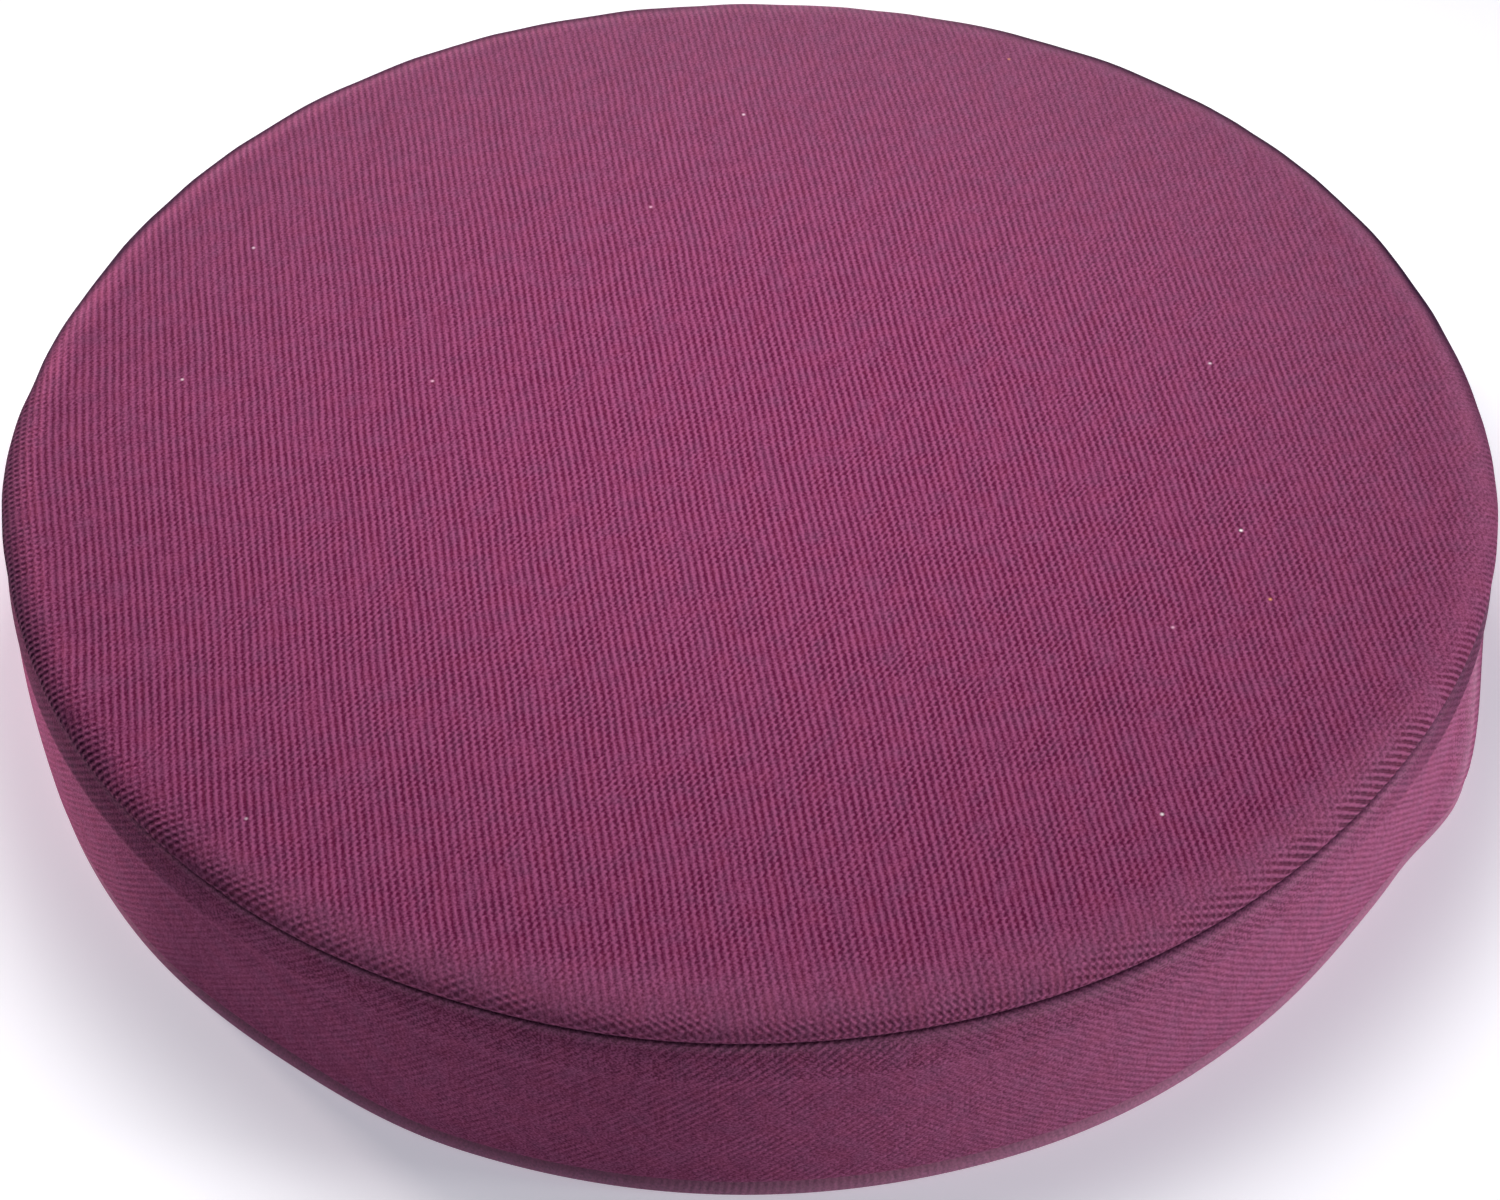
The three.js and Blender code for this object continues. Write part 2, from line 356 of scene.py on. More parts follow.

# The weave beside the top seam: how strongly each of its waves shows there, from what distance, in
# millimetres, the crossing yarns open and the ribs close up, how unevenly the yarn is spun, and how dark a
# painted shade turns the cloth there, from what distance and over what width
RIM = [
    {"azimuth": -180, "rib": 0.6, "float": 0.2, "counter": 0.65, "cross": 1, "opening": 23,
     "closing": 19, "slub": 1.5, "dark": 0.86, "darkening": 17.5, "over": 12},
    {"azimuth": -165, "rib": 0.6, "float": 0.2, "counter": 0.65, "cross": 1.05, "opening": 23,
     "closing": 19, "slub": 1.5, "dark": 0.86, "darkening": 17.5, "over": 12},
    {"azimuth": -150, "rib": 0.6, "float": 0.2, "counter": 0.7, "cross": 1.3, "opening": 21,
     "closing": 19, "slub": 1.5, "dark": 0.74, "darkening": 16.5, "over": 11},
    {"azimuth": -135, "rib": 0.5, "float": 0.2, "counter": 0.6, "cross": 1.3, "opening": 19.5,
     "closing": 21, "slub": 1.4, "dark": 0.36, "darkening": 15.5, "over": 10},
    {"azimuth": -120, "rib": 0.4, "float": 0.2, "counter": 0.5, "cross": 1.1, "opening": 15,
     "closing": 22, "slub": 1.2, "dark": 0, "darkening": 13, "over": 6},
    {"azimuth": -90, "rib": 0.42, "float": 0.3, "counter": 0.75, "cross": 0.5, "opening": 14.5,
     "closing": 32, "slub": 1.1, "dark": 0, "darkening": 12, "over": 5},
    {"azimuth": -75, "rib": 0.52, "float": 0.3, "counter": 0.45, "cross": 0.4, "opening": 14,
     "closing": 29, "slub": 1.1, "dark": 0.1, "darkening": 7, "over": 3},
    {"azimuth": -60, "rib": 0.34, "float": 0.35, "counter": 0.5, "cross": 1.1, "opening": 14,
     "closing": 26, "slub": 1.1, "dark": 0.18, "darkening": 7, "over": 3},
    {"azimuth": -40, "rib": 0.3, "float": 0.4, "counter": 0.05, "cross": 4.3, "opening": 13.5,
     "closing": 24, "slub": 1.1, "dark": 0.08, "darkening": 7, "over": 3},
    {"azimuth": -12, "rib": 0.1, "float": 0.2, "counter": 0, "cross": 1.1, "opening": 14,
     "closing": 24, "slub": 1, "dark": 0.2, "darkening": 12, "over": 5},
    {"azimuth": 20, "rib": 0.1, "float": 0, "counter": 0, "cross": 0.3, "opening": 13,
     "closing": 20, "slub": 1, "dark": 0.95, "darkening": 13, "over": 4.5},
    {"azimuth": 60, "rib": 0.2, "float": 0, "counter": 0, "cross": 0.2, "opening": 13,
     "closing": 20, "slub": 1, "dark": 0.78, "darkening": 15, "over": 5},
    {"azimuth": 82, "rib": 0.3, "float": 0, "counter": 0, "cross": 0.2, "opening": 13,
     "closing": 20, "slub": 1, "dark": 0.1, "darkening": 16, "over": 4.5},
    {"azimuth": 105, "rib": 0.3, "float": 0, "counter": 0, "cross": 0.2, "opening": 13,
     "closing": 20, "slub": 1, "dark": 0.78, "darkening": 15.5, "over": 5},
    {"azimuth": 150, "rib": 0.4, "float": 0, "counter": 0.1, "cross": 0.2, "opening": 15,
     "closing": 20, "slub": 1, "dark": 0.95, "darkening": 14, "over": 4.5},
    {"azimuth": 168, "rib": 0.5, "float": 0.1, "counter": 0.3, "cross": 0.3, "opening": 18,
     "closing": 19, "slub": 1.2, "dark": 0.95, "darkening": 12, "over": 4.5},
    {"azimuth": 180, "rib": 0.6, "float": 0.2, "counter": 0.65, "cross": 1, "opening": 23,
     "closing": 19, "slub": 1.5, "dark": 0.86, "darkening": 17.5, "over": 12},
]

# The band at its left and its right: how strongly each wave shows there, which of them shows on each side
# being the painted effect of that side's lamp, how strong its painted sheen and the painted shade over its
# allowance are, and how far below the top seam the painted highlight on the folded allowance's edge stands,
# in millimetres
BAND_ENDS = {
    "rib": {"left": 0.08, "right": 0.72},
    "cross": {"left": 0.38, "right": 0.05},
    "pale": {"left": 0.03, "right": 0.06},
    "allowance shade": {"left": 0.04, "right": 0.09},
    "fold edge": {"left": 3.4, "right": 5},
}

# The band's waves and spinning, on the single cloth and over the folded allowance
BAND_GAIN = 0.8
BAND_FLOAT = 0.07
BAND_SLUB = 1.3
ALLOWANCE_GAIN = 1.3
ALLOWANCE_SLUB = 1.8

# The band's painted light and shade: painted shade over the allowance, a painted highlight on its edge and a
# painted shadow just under the seam, whose height and fade are in millimetres
SIDE_ALLOWANCE_SHADE = 0.62
BACK_HALF_SHADE = 0.16
BACK_SHADE_SHARE = 0.25
FOLD_EDGE_HALF_WIDTH = 2
FOLD_EDGE_HIGHLIGHT = 0.06
UNDER_SEAM_HEIGHT = 4.6
UNDER_SEAM_FADE = 1.4
UNDER_SEAM_SHADE = 0.45

# The pleat: above what height, in millimetres, a painted highlight on its ridge and painted shade on the
# cloth behind it show, and how many degrees behind its line the ridge's highlight stands
PLEAT = next(fold for fold in FOLDS if fold["name"] == "pleat along the bulge")
PLEAT_LOW_END = 8
PLEAT_LOW_FADE = 10
RIDGE_BEHIND = 1
RIDGE_FADE = 3
RIDGE_HIGHLIGHT = 0.12
PLEAT_SHADE = 0.65

# Stretches of azimuth round the cushion, and of the painted shadow behind the pleat, in degrees. The
# back is told from the sine of the azimuth, so that it fades evenly to both of its ends
FRONT = {"start": -150, "end": -20, "fade_in": 28, "fade_out": 22}
FRONT_HALF = {"start": -180, "end": 0, "fade_in": 15, "fade_out": 15}
RIGHT_HALF = {"start": -95, "end": BAND_JOIN_AZIMUTH, "fade_in": 38, "fade_out": 30}
PAINTED_PLEAT_SHADOW = {"start": 4, "end": 24, "fade_in": 4, "fade_out": 11}
BACK_STEEPNESS = 2.2
BACK_START = 0.6


def stretch(angles, start, end, fade_in, fade_out):
    """1 along a stretch of angles, easing to 0 at both of its ends."""
    return ease((angles - start) / fade_in) * ease((end - angles) / fade_out)


rim = {column: around(RIM, column, azimuths) for column in RIM[0] if column != "azimuth"}
front = stretch(azimuths, **FRONT)
front_half = stretch(azimuths, **FRONT_HALF)
right_half = stretch(azimuths, **RIGHT_HALF)
back = ease(BACK_STEEPNESS * np.sin(turns) - BACK_START)
band = {name: mix(ends["left"], ends["right"], right_half) for name, ends in BAND_ENDS.items()}


def top_looks(row, above_seam):
    """The top panel's waves, spinning, painted sheen and painted shade all round one row, some millimetres
    above the seam.
    """
    out = row["radius"] / RIM_RADIUS
    # A painted sheen towards the back of the rim, under which the ribs show less
    back_sheen = out ** 2 * ((1 + np.cos(turns - math.radians(BACK_SHEEN_AZIMUTH))) / 2) ** 2
    fading = FLOAT_FADE * out * np.cos(turns - math.radians(FLOAT_FADE_AZIMUTH))
    outer = ease((out - OUTER_START) / OUTER_FADE)
    strokes = np.clip(1 - fading, 0, FLOAT_MOST) * (1 - OUTER_FLOAT_LOSS * outer)
    closed = ease((rim["closing"] - above_seam) / (rim["closing"] - RIBS_CLOSED))
    opened = ease((rim["opening"] - above_seam) / (rim["opening"] - CROSS_OPEN))
    back_sheen_paleness = (BACK_SHEEN_PALENESS + BACK_RIM_SHEEN_PALENESS * closed) * back_sheen
    return {
        "rib": mix(1 - BACK_SHEEN_RIB_LOSS * back_sheen, rim["rib"], closed),
        "float": mix(FLOAT_SHOW * strokes, rim["float"], closed),
        "counter": mix(COUNTER_SHOW * strokes, rim["counter"], opened),
        "cross": mix(CROSS_SHOW * strokes, rim["cross"], opened),
        "slub": mix(1, rim["slub"], opened),
        # painted sheen at the back, and painted light on the front of the rim
        "pale": back_sheen_paleness + FRONT_RIM_PAINTED_LIGHT * closed * front,
        # painted shade on the roll beside the seam
        "shade": rim["dark"] * ease((rim["darkening"] - above_seam) / rim["over"]),
    }


def band_looks(row, above_seam):
    """The same for the band, with the seam allowance folded up inside it, the pleat at its right end, and the
    highlights and shade painted on them.
    """
    height = row["height"] / MM
    above_fold = above_seam * MM + ALLOWANCE_HEIGHT + 2 * ALLOWANCE_STEP
    folded = ease(above_fold / (2 * ALLOWANCE_STEP))
    gain = BAND_GAIN * mix(1, ALLOWANCE_GAIN, folded)
    # painted highlight along the edge of the folded allowance
    fold_edge_highlight = ease(FOLD_EDGE_HALF_WIDTH - abs(above_seam + band["fold edge"]))
    # painted shadow just under the seam
    under_seam_shadow = ease((above_seam + UNDER_SEAM_HEIGHT) / UNDER_SEAM_FADE)
    high_up = ease((height - PLEAT_LOW_END) / PLEAT_LOW_FADE)
    behind_pleat = azimuths - mix(PLEAT["foot"], PLEAT["top"], height / PLEAT["high"])
    # painted highlight along the pleat's ridge
    ridge_highlight = ease(1 - abs(behind_pleat - RIDGE_BEHIND) / RIDGE_FADE) * high_up
    # painted shadow on the cloth behind the pleat
    pleat_shadow = stretch(behind_pleat, **PAINTED_PLEAT_SHADOW) * high_up
    # painted shade over the folded allowance, darker at the sides and the back
    painted_allowance_shade = mix(SIDE_ALLOWANCE_SHADE, band["allowance shade"], front)
    painted_allowance_shade = (painted_allowance_shade + BACK_HALF_SHADE * (1 - front_half)) * mix(1, BACK_SHADE_SHARE, back)
    return {
        "rib": gain * band["rib"],
        "float": gain * BAND_FLOAT,
        "counter": 0,
        "cross": gain * band["cross"],
        "slub": mix(BAND_SLUB, ALLOWANCE_SLUB, folded),
        "pale": band["pale"] + FOLD_EDGE_HIGHLIGHT * fold_edge_highlight + RIDGE_HIGHLIGHT * ridge_highlight,
        "shade": painted_allowance_shade * folded
                 + UNDER_SEAM_SHADE * right_half * front * under_seam_shadow
                 + PLEAT_SHADE * pleat_shadow * (1 - folded),
    }


def bottom_looks(row, above_seam):
    """The same for the bottom panel, which shows as a lip at the foot, made paler by painted light."""
    edge = (row["radius"] / RIM_RADIUS) ** EDGE_FADE_POWER
    return {
        "rib": mix(1, LIP_RIB, edge),
        "float": FLOAT_SHOW * (1 - edge),
        "counter": COUNTER_SHOW * (1 - edge),
        "cross": CROSS_SHOW * (1 - edge),
        "slub": 1,
        # painted light on the lip, as if lit from below
        "pale": LIP_PAINTED_LIGHT * edge,
        "shade": 0,
    }


PANEL_LOOKS = {"top": top_looks, "band": band_looks, "bottom": bottom_looks}
seam_distances = [top_seam_length - length for length in lengths]
looks = [PANEL_LOOKS[row["panel"]](row, distance / MM) for row, distance in zip(rows, seam_distances)]
for name in looks[0]:
    values = [np.broadcast_to(row_looks[name], STEPS_AROUND) for row_looks in looks]
    each_vertex(name, values[0][0], values, values[-1][0])
each_vertex("from_seam", top_seam_length, seam_distances, top_seam_length - whole_length)

# Gathers that the stitching draws into the cloth. A copy of the cushion is blown up as cloth, held along both
# seams. Only the uneven part of its movement is kept, because the even swell is in the section already.
BLOW_PRESSURE = 4.0
BLOW_FRAMES = 20
CLOTH_MASS = 0.3
HELD_BESIDE_SEAM = 2
GATHER_SHARE = 0.09
GATHER_LIMIT = 0.4 * MM


def uneven_share(moves):
    """What is kept of the movement of each row: a share of its uneven part, up to a limit."""
    uneven = moves - moves.mean(axis=1, keepdims=True)
    return np.clip(GATHER_SHARE * uneven, -GATHER_LIMIT, GATHER_LIMIT)


blown = bpy.data.objects.new("blown_cushion", cushion_mesh.copy())
bpy.context.scene.collection.objects.link(blown)
beside_seam = range(top_rows[-1] - HELD_BESIDE_SEAM + 1, top_rows[-1] + HELD_BESIDE_SEAM + 1)
held_rows = [*beside_seam, *range(band_rows[-1], len(rows))]
held_vertices = [vertex_at(index, step) for index in held_rows for step in range(STEPS_AROUND)]
held = blown.vertex_groups.new(name="sewn")
held.add([*held_vertices, last_vertex], 1.0, "REPLACE")
cloth = blown.modifiers.new("blown up", "CLOTH")
cloth.settings.use_pressure = True
cloth.settings.uniform_pressure_force = BLOW_PRESSURE
cloth.settings.effector_weights.gravity = 0
cloth.settings.vertex_group_mass = held.name
cloth.settings.mass = CLOTH_MASS
cloth.point_cache.frame_start = 1
cloth.point_cache.frame_end = BLOW_FRAMES
for frame_number in range(1, BLOW_FRAMES + 1):
    bpy.context.scene.frame_set(frame_number)
settled = blown.evaluated_get(bpy.context.evaluated_depsgraph_get())
ring_shape = (len(rows), STEPS_AROUND, 3)
before = np.array(points)[1:-1].reshape(ring_shape)
after = np.array([vertex.co for vertex in settled.data.vertices])[1:-1].reshape(ring_shape)
moves = after - before
out_gathers = uneven_share((moves[:, :, :2] * outward).sum(axis=2))
up_gathers = uneven_share(moves[:, :, 2])
gathered = before + np.dstack([out_gathers[:, :, None] * outward, up_gathers])
coordinates = np.concatenate([points[:1], gathered.reshape(-1, 3), points[-1:]])
cushion_mesh.vertices.foreach_set("co", coordinates.ravel())
bpy.data.objects.remove(blown)
bpy.context.scene.frame_set(1)

cushion = bpy.data.objects.new("seat_cushion", cushion_mesh)
bpy.context.scene.collection.objects.link(cushion)
bpy.ops.object.select_all(action="DESELECT")
cushion.select_set(True)
bpy.context.view_layer.objects.active = cushion
refine = cushion.modifiers.new("finer cloth", "SUBSURF")
refine.levels = refine.render_levels = 1
refine.use_limit_surface = False
bpy.ops.object.modifier_apply(modifier=refine.name)
bpy.ops.object.shade_smooth()

# Cover cloth: a cotton rep, woven of mauve yarn in slanted floats over dark plum yarn. The eye sees upright
# ribs of small slanted strokes with dark dots between them, and a faint bloom of fibres at a low angle.
GROUND_YARN = "#581437"
FLOAT_YARN = "#954A70"
RED_YARN = "#8F3A55"
GREY_YARN = "#6E4A66"
# The pale pink of the painted sheen and highlights
PAINTED_SHEEN_PINK = "#D9B4C8"
FIBRE_BLOOM = "#F0D8E6"
RIB_RELIEF = 0.35 * MM
YARN_CONTRAST = 0.4
CROSS_PHASE = 91
COUNTER_PHASE = 162
SEAM_SHADOW = "#1B0822"
SEAM_LINE_RAISE = 0.9 * MM
SEAM_LINE_HALF_WIDTH = 1.3 * MM
SEAM_LINE_FADED = 4.9 * MM
SEAM_LINE_DARK = 0.85

# Noise on the map, which counts yarns 2 mm apart: the lines wander over 67 mm, the spinning varies over
# 12.5 mm and the dye over 6.7 mm, and single fibres are 0.6 mm
WANDER_SCALE = 0.03
WANDER_YARNS = 1.05
SPINNING_SCALE = 0.16
DYE_SCALE = 0.3
DYE_SHARE = 0.18
FIBRE_SCALE = 3.2
FIBRE_CONTRAST = 1.4
FLOAT_CONTRAST = 0.2
HALVES = (0.5, 0.5, 0.5)

# A Mix node's colour sockets, whose names its other sockets share
COLOUR_A = 6
COLOUR_B = 7
COLOUR_OUT = 2


def linear(hex_colour):
    """An sRGB hex colour as linear red, green, blue and alpha."""
    parts = [int(hex_colour[i:i + 2], 16) / 255 for i in (1, 3, 5)]
    return tuple(p / 12.92 if p <= 0.04045 else ((p + 0.055) / 1.055) ** 2.4 for p in parts) + (1.0,)


def add_node(tree, kind, settings, links=None):
    """Adds a node to the tree, sets its properties and inputs, and links other sockets into it."""
    node = tree.nodes.new(kind)
    for name, value in settings.items():
        if isinstance(name, int) or name in node.inputs:
            node.inputs[name].default_value = value
        else:
            setattr(node, name, value)
    for name, source in (links or {}).items():
        tree.links.new(source, node.inputs[name])
    return node


cover = bpy.data.materials.new("woven cotton rep")
cover.use_nodes = True
tree = cover.node_tree
tree.nodes.clear()
counts = add_node(tree, "ShaderNodeUVMap", {"uv_map": "yarn_counts"})

# The yarns wander a little from their straight lines
wander = add_node(tree, "ShaderNodeTexNoise",
                  {"noise_dimensions": "2D", "Scale": WANDER_SCALE, "Detail": 4.0},
                  {"Vector": counts.outputs["UV"]})
wander_centred = add_node(tree, "ShaderNodeVectorMath", {"operation": "SUBTRACT", 1: HALVES},
                          {0: wander.outputs["Color"]})
wander_scaled = add_node(tree, "ShaderNodeVectorMath", {"operation": "SCALE", "Scale": WANDER_YARNS},
                         {0: wander_centred.outputs["Vector"]})
place = add_node(tree, "ShaderNodeVectorMath", {"operation": "ADD"},
                 {0: counts.outputs["UV"], 1: wander_scaled.outputs["Vector"]})
split = add_node(tree, "ShaderNodeSeparateXYZ", {}, {"Vector": place.outputs["Vector"]})
u, v = split.outputs["X"], split.outputs["Y"]
with_cross = add_node(tree, "ShaderNodeMath", {"operation": "ADD"}, {0: u, 1: v})
against_cross = add_node(tree, "ShaderNodeMath", {"operation": "SUBTRACT"}, {0: u, 1: v})

# Uneven spinning: in places the floats lie flat and the ribs run smooth, in others the strokes stand out
patches = add_node(tree, "ShaderNodeTexNoise",
                   {"noise_dimensions": "2D", "Scale": SPINNING_SCALE, "Detail": 4.0, "Roughness": 0.6},
                   {"Vector": counts.outputs["UV"]})
patch_split = add_node(tree, "ShaderNodeSeparateColor", {}, {"Color": patches.outputs["Color"]})
float_strength = add_node(tree, "ShaderNodeMapRange",
                          {"From Min": 0.32, "From Max": 0.68, "To Min": 0.2, "To Max": 1.7},
                          {"Value": patch_split.outputs["Red"]})
rib_strength = add_node(tree, "ShaderNodeMapRange",
                        {"From Min": 0.3, "From Max": 0.7, "To Min": 0.7, "To Max": 1.3},
                        {"Value": patch_split.outputs["Green"]})

# The weave is the sum of four waves: ribs, floats along one diagonal, their turns along the other, and
# crossing yarns
WAVES = [
    ("rib", u, 0, rib_strength),
    ("float", with_cross.outputs[0], 0, float_strength),
    ("counter", against_cross.outputs[0], COUNTER_PHASE, float_strength),
    ("cross", v, CROSS_PHASE, float_strength),
]
total = None
for name, source, phase, strength in WAVES:
    show = add_node(tree, "ShaderNodeAttribute", {"attribute_name": name})
    height = add_node(tree, "ShaderNodeMath", {"operation": "MULTIPLY"},
                      {0: show.outputs["Fac"], 1: strength.outputs[0]})
    angle = add_node(tree, "ShaderNodeMath",
                     {"operation": "MULTIPLY_ADD", 1: math.tau, 2: math.radians(phase)}, {0: source})
    wave = add_node(tree, "ShaderNodeMath", {"operation": "COSINE"}, {0: angle.outputs[0]})
    links = {0: wave.outputs[0], 1: height.outputs[0]}
    if total is None:
        total = add_node(tree, "ShaderNodeMath", {"operation": "MULTIPLY"}, links)
    else:
        links[2] = total.outputs[0]
        total = add_node(tree, "ShaderNodeMath", {"operation": "MULTIPLY_ADD"}, links)
relief = add_node(tree, "ShaderNodeMath", {"operation": "MULTIPLY_ADD", 1: YARN_CONTRAST, 2: 0.5},
                  {0: total.outputs[0]})

# Each float and each fibre is a little lighter or darker than the next
float_place = add_node(tree, "ShaderNodeCombineXYZ", {}, {"X": u, "Y": with_cross.outputs[0]})
float_centre = add_node(tree, "ShaderNodeVectorMath", {"operation": "ADD", 1: HALVES},
                        {0: float_place.outputs["Vector"]})
float_cell = add_node(tree, "ShaderNodeVectorMath", {"operation": "FLOOR"},
                      {0: float_centre.outputs["Vector"]})
float_chance = add_node(tree, "ShaderNodeTexWhiteNoise", {"noise_dimensions": "2D"},
                        {"Vector": float_cell.outputs["Vector"]})
chance_centred = add_node(tree, "ShaderNodeMath",
                          {"operation": "MULTIPLY_ADD", 1: FLOAT_CONTRAST, 2: -FLOAT_CONTRAST / 2},
                          {0: float_chance.outputs["Value"]})
fibres = add_node(tree, "ShaderNodeTexNoise",
                  {"noise_dimensions": "2D", "Scale": FIBRE_SCALE, "Detail": 1.0},
                  {"Vector": counts.outputs["UV"]})
fibres_centred = add_node(tree, "ShaderNodeMath",
                          {"operation": "MULTIPLY_ADD", 1: FIBRE_CONTRAST, 2: -FIBRE_CONTRAST / 2},
                          {0: fibres.outputs["Fac"]})
irregular = add_node(tree, "ShaderNodeMath", {"operation": "ADD"},
                     {0: chance_centred.outputs[0], 1: fibres_centred.outputs[0]})
slub = add_node(tree, "ShaderNodeAttribute", {"attribute_name": "slub"})
unevenly_spun = add_node(tree, "ShaderNodeMath", {"operation": "MULTIPLY"},
                         {0: irregular.outputs[0], 1: slub.outputs["Fac"]})
lightness = add_node(tree, "ShaderNodeMath", {"operation": "ADD", "use_clamp": True},
                     {0: relief.outputs[0], 1: unevenly_spun.outputs[0]})
yarns = add_node(tree, "ShaderNodeMix",
                 {"data_type": "RGBA", COLOUR_A: linear(GROUND_YARN), COLOUR_B: linear(FLOAT_YARN)},
                 {0: lightness.outputs[0]})

# Dye taken up unevenly: small redder and greyer patches
dye = add_node(tree, "ShaderNodeTexNoise", {"noise_dimensions": "2D", "Scale": DYE_SCALE, "Detail": 3.0},
               {"Vector": counts.outputs["UV"]})
redder = add_node(tree, "ShaderNodeMapRange", {"From Min": 0.5, "From Max": 0.8, "To Max": DYE_SHARE},
                  {"Value": dye.outputs["Fac"]})
greyer = add_node(tree, "ShaderNodeMapRange", {"From Min": 0.5, "From Max": 0.2, "To Max": DYE_SHARE},
                  {"Value": dye.outputs["Fac"]})
red_patch = add_node(tree, "ShaderNodeMix", {"data_type": "RGBA", COLOUR_B: linear(RED_YARN)},
                     {0: redder.outputs[0], COLOUR_A: yarns.outputs[COLOUR_OUT]})
grey_patch = add_node(tree, "ShaderNodeMix", {"data_type": "RGBA", COLOUR_B: linear(GREY_YARN)},
                      {0: greyer.outputs[0], COLOUR_A: red_patch.outputs[COLOUR_OUT]})

# Painted sheen and painted highlights turn the cloth paler, by the share kept for each vertex
painted_light_amount = add_node(tree, "ShaderNodeAttribute", {"attribute_name": "pale"})
painted_sheen_cloth = add_node(tree, "ShaderNodeMix", {"data_type": "RGBA", COLOUR_B: linear(PAINTED_SHEEN_PINK)},
                        {0: painted_light_amount.outputs["Fac"], COLOUR_A: grey_patch.outputs[COLOUR_OUT]})

# Painted shade darkens the cloth where it turns in to the seam, over the allowance folded up inside the band
# and behind the pleat
painted_shade_amount = add_node(tree, "ShaderNodeAttribute", {"attribute_name": "shade"})
with_painted_shade = add_node(tree, "ShaderNodeMix", {"data_type": "RGBA", COLOUR_B: linear(SEAM_SHADOW)},
                  {0: painted_shade_amount.outputs["Fac"], COLOUR_A: painted_sheen_cloth.outputs[COLOUR_OUT]})
# A painted shadow along the seam's groove
seam_distance = add_node(tree, "ShaderNodeAttribute", {"attribute_name": "from_seam"})
seam_shifted = add_node(tree, "ShaderNodeMath", {"operation": "SUBTRACT", 1: SEAM_LINE_RAISE},
                        {0: seam_distance.outputs["Fac"]})
seam_aside = add_node(tree, "ShaderNodeMath", {"operation": "ABSOLUTE"}, {0: seam_shifted.outputs[0]})
seam_line = add_node(tree, "ShaderNodeMapRange",
                     {"interpolation_type": "SMOOTHSTEP", "From Min": SEAM_LINE_HALF_WIDTH,
                      "From Max": SEAM_LINE_FADED, "To Min": SEAM_LINE_DARK, "To Max": 0.0},
                     {"Value": seam_aside.outputs[0]})
seam_groove_shadow = add_node(tree, "ShaderNodeMix", {"data_type": "RGBA", COLOUR_B: linear(SEAM_SHADOW)},
                    {0: seam_line.outputs[0], COLOUR_A: with_painted_shade.outputs[COLOUR_OUT]})

# Flecks of lint caught in the top, as pale specks on the cloth, at places in millimetres. A difference in
# height counts for a tenth, so that each shows wherever the crown of the top is
FLECK_RADIUS = 0.8 * MM
FLECK_FLATTENING = 0.1
FLECKS = [
    {"x": 80, "y": 164, "colour": "#E8A070"},
    {"x": 0, "y": 137, "colour": "#E6C8D6"},
    {"x": -27, "y": 94, "colour": "#D8A0B8"},
    {"x": -140, "y": 80, "colour": "#E6C8D6"},
    {"x": -155, "y": 25, "colour": "#F0D0D8"},
    {"x": -86, "y": 21, "colour": "#D8A0B8"},
    {"x": 127, "y": 25, "colour": "#E6C8D6"},
    {"x": 129, "y": -40, "colour": "#FFF4F4"},
    {"x": 134, "y": -65, "colour": "#E8A070"},
    {"x": 108, "y": -75, "colour": "#D8A0B8"},
    {"x": 100, "y": -137, "colour": "#FFF4F4"},
    {"x": -124, "y": -134, "colour": "#E6C8D6"},
]
own_place = add_node(tree, "ShaderNodeTexCoord", {})
flattened = add_node(tree, "ShaderNodeVectorMath", {"operation": "MULTIPLY", 1: (1, 1, FLECK_FLATTENING)},
                     {0: own_place.outputs["Object"]})
cloth_colour = seam_groove_shadow.outputs[COLOUR_OUT]
for fleck in FLECKS:
    centre = (fleck["x"] * MM, fleck["y"] * MM, CUSHION_HEIGHT * FLECK_FLATTENING)
    distance = add_node(tree, "ShaderNodeVectorMath", {"operation": "DISTANCE", 1: centre},
                        {0: flattened.outputs["Vector"]})
    covered = add_node(tree, "ShaderNodeMapRange",
                       {"interpolation_type": "SMOOTHSTEP", "From Min": FLECK_RADIUS, "From Max": 0.0},
                       {"Value": distance.outputs["Value"]})
    flecked = add_node(tree, "ShaderNodeMix", {"data_type": "RGBA", COLOUR_B: linear(fleck["colour"])},
                       {0: covered.outputs[0], COLOUR_A: cloth_colour})
    cloth_colour = flecked.outputs[COLOUR_OUT]

bump = add_node(tree, "ShaderNodeBump", {"Strength": 1.0, "Distance": RIB_RELIEF},
                {"Height": relief.outputs[0]})
surface = add_node(tree, "ShaderNodeBsdfPrincipled",
                   {"Roughness": 0.9, "Specular IOR Level": 0.02, "Sheen Weight": 0.012,
                    "Sheen Roughness": 0.3, "Sheen Tint": linear(FIBRE_BLOOM)},
                   {"Base Color": cloth_colour, "Normal": bump.outputs["Normal"]})
add_node(tree, "ShaderNodeOutputMaterial", {}, {"Surface": surface.outputs["BSDF"]})
cushion.data.materials.append(cover)

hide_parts("cushion")
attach(cushion, "root")

# Floor: a plain white studio table that glows a little, so that the foot of the cushion is lit from below,
# and wide enough to fill the photograph's view.
FLOOR_WIDTH = 12.0
FLOOR_WHITE = "#FAF9F8"
FLOOR_ROUGHNESS = 0.9
GLOW_COLOUR = "#F2F4FF"
GLOW_STRENGTH = 0.38
bpy.ops.object.select_all(action="DESELECT")
bpy.ops.mesh.primitive_plane_add(size=FLOOR_WIDTH, location=(0, 0, 0))
floor = bpy.context.object
floor.name = "studio_floor"
floor_paint = bpy.data.materials.new("lit opal acrylic")
floor_paint.use_nodes = True
floor_shader = floor_paint.node_tree.nodes["Principled BSDF"]
floor_shader.inputs["Base Color"].default_value = linear(FLOOR_WHITE)
floor_shader.inputs["Roughness"].default_value = FLOOR_ROUGHNESS
floor_shader.inputs["Emission Color"].default_value = linear(GLOW_COLOUR)
floor_shader.inputs["Emission Strength"].default_value = GLOW_STRENGTH
floor.data.materials.append(floor_paint)

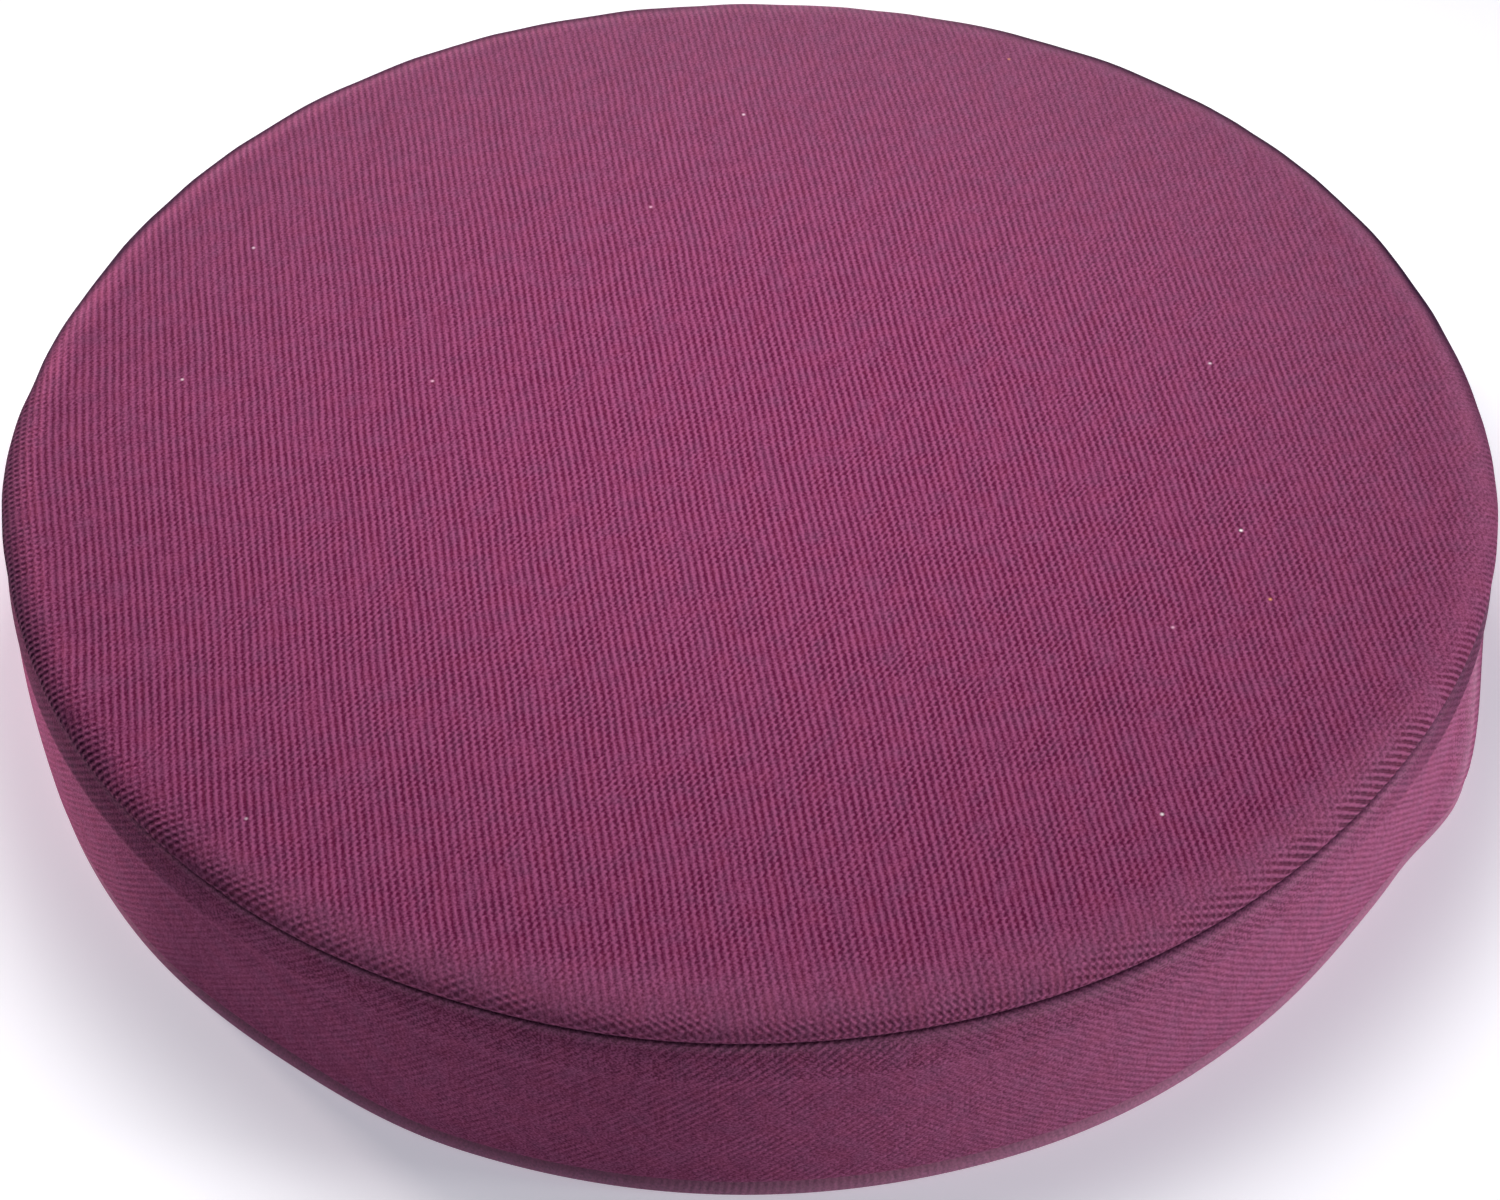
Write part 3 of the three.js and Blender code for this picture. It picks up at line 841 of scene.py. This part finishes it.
# Lights: a soft panel close over the cushion, one small and low to the right and a stronger one low at the
# back left, so that the front of the band lies in shade, and a pale, slightly cool room.
LIGHTS = [
    {"name": "above", "place": (0.0, 0.022, 0.45), "width": 0.3, "watts": 2.1, "colour": "#FFFFFF"},
    {"name": "right", "place": (1.55, -0.4, 0.1), "width": 0.2, "watts": 20, "colour": "#FFFFFF"},
    {"name": "left", "place": (-1.26, 0.99, 0.1), "width": 0.2, "watts": 45, "colour": "#FFEAEA"},
]
AIM = Vector((0, 0, CUSHION_HEIGHT / 2))
ROOM_COLOUR = "#E6ECFF"
ROOM_STRENGTH = 0.17
for light in LIGHTS:
    panel = bpy.data.lights.new(light["name"], "AREA")
    panel.size = light["width"]
    panel.energy = light["watts"]
    panel.color = linear(light["colour"])[:3]
    lamp = bpy.data.objects.new(light["name"], panel)
    lamp.location = light["place"]
    lamp.rotation_euler = (AIM - lamp.location).to_track_quat("-Z", "Y").to_euler()
    bpy.context.scene.collection.objects.link(lamp)
room = bpy.data.worlds.new("pale room")
room.use_nodes = True
room.node_tree.nodes["Background"].inputs["Color"].default_value = linear(ROOM_COLOUR)
room.node_tree.nodes["Background"].inputs["Strength"].default_value = ROOM_STRENGTH
bpy.context.scene.world = room
bpy.context.scene.view_settings.view_transform = "Standard"

# Camera: from the front, looking down on the face at the angle of the photograph, with a long lens.
SENSOR_WIDTH = 36
LOOK_DOWN = 46.0
CAMERA_DISTANCE = 1.0562
FOCAL_LENGTH = 89.45
CAMERA_ROLL = -0.726
AIM_ABOVE = 0.255
camera_data = bpy.data.cameras.new("camera")
camera_data.sensor_width = SENSOR_WIDTH
camera_data.lens = FOCAL_LENGTH
camera = bpy.data.objects.new("camera", camera_data)
look_down = math.radians(LOOK_DOWN)
camera_place = Vector((0, -math.cos(look_down), math.sin(look_down))) * CAMERA_DISTANCE
tilt = Matrix.Rotation(math.radians(90 - LOOK_DOWN), 4, "X")
roll = Matrix.Rotation(math.radians(CAMERA_ROLL), 4, "Z")
raise_aim = Matrix.Rotation(math.radians(AIM_ABOVE), 4, "X")
camera.matrix_world = Matrix.Translation(camera_place) @ tilt @ roll @ raise_aim
bpy.context.scene.collection.objects.link(camera)
bpy.context.scene.camera = camera
